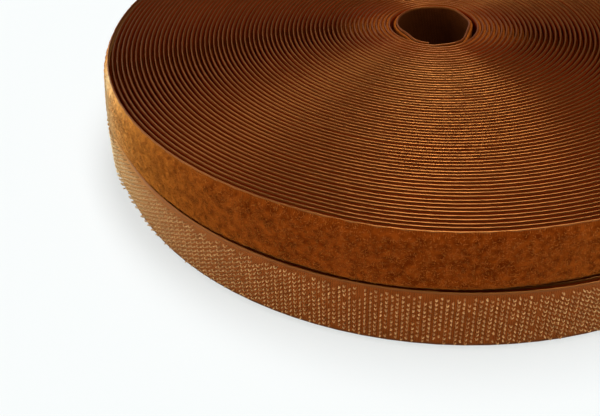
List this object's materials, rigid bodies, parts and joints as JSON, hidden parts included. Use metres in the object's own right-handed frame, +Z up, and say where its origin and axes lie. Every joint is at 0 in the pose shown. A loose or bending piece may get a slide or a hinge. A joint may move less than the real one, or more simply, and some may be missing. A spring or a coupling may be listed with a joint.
{
  "type": "hook and loop tape roll",
  "caption": "Flat coils of woven sew-on fastening tape, the loop tape's coil lying on the hook tape's, each wound on itself round an open bore with its closing face outwards.",
  "frame": {"origin": "on the floor, under the middle of the lower roll, the hook tape's", "axes": "+Z up along both rolls' axes; the picture looks along +Y and down, a little to the left"},
  "size_m": [0.2398, 0.2391, 0.0403],
  "materials": {
    "hook_ground": "matte woven",
    "hook_monofilament": "satin monofilament",
    "loop_ground": "matte woven",
    "loop_pile": "brushed pile"
  },
  "bodies": {
    "hook_roll": {"hook_tape_winding": "hook_ground", "hook_tape_inner_turn": "hook_ground", "hook_row_01": "hook_monofilament", "hook_row_02": "hook_monofilament", "hook_row_03": "hook_monofilament", "hook_row_04": "hook_monofilament", "hook_row_05": "hook_monofilament", "hook_row_06": "hook_monofilament", "hook_row_07": "hook_monofilament", "hook_row_08": "hook_monofilament", "hook_row_09": "hook_monofilament", "hook_row_10": "hook_monofilament", "hook_row_11": "hook_monofilament"},
    "hook_end": {"hook_tape_end": "hook_ground", "hook_end_row_01": "hook_monofilament", "hook_end_row_02": "hook_monofilament", "hook_end_row_03": "hook_monofilament", "hook_end_row_04": "hook_monofilament", "hook_end_row_05": "hook_monofilament", "hook_end_row_06": "hook_monofilament", "hook_end_row_07": "hook_monofilament", "hook_end_row_08": "hook_monofilament", "hook_end_row_09": "hook_monofilament", "hook_end_row_10": "hook_monofilament", "hook_end_row_11": "hook_monofilament"},
    "loop_roll": {"loop_tape_winding": "loop_ground", "loop_tape_inner_turn": "loop_ground", "loop_pile": "loop_pile"},
    "loop_end": {"loop_tape_end": "loop_ground", "loop_end_pile": "loop_pile"}
  },
  "joints": [
    {"name": "loop_roll_turn", "type": "hinge", "parent": "hook_roll", "child": "loop_roll", "pos_m": [-0.0019, 0.0003, 0.0203], "axis": [0, 0, 1], "continuous": true},
    {"name": "hook_end_peel", "type": "hinge", "parent": "hook_roll", "child": "hook_end", "pos_m": [-0.11621, 0.03135, 0.01], "axis": [0, 0, 1], "range_deg": [0, 90]},
    {"name": "loop_end_peel", "type": "hinge", "parent": "loop_roll", "child": "loop_end", "pos_m": [-0.04609, 0.11022, 0.0303], "axis": [0, 0, 1], "range_deg": [0, 90]}
  ]
}
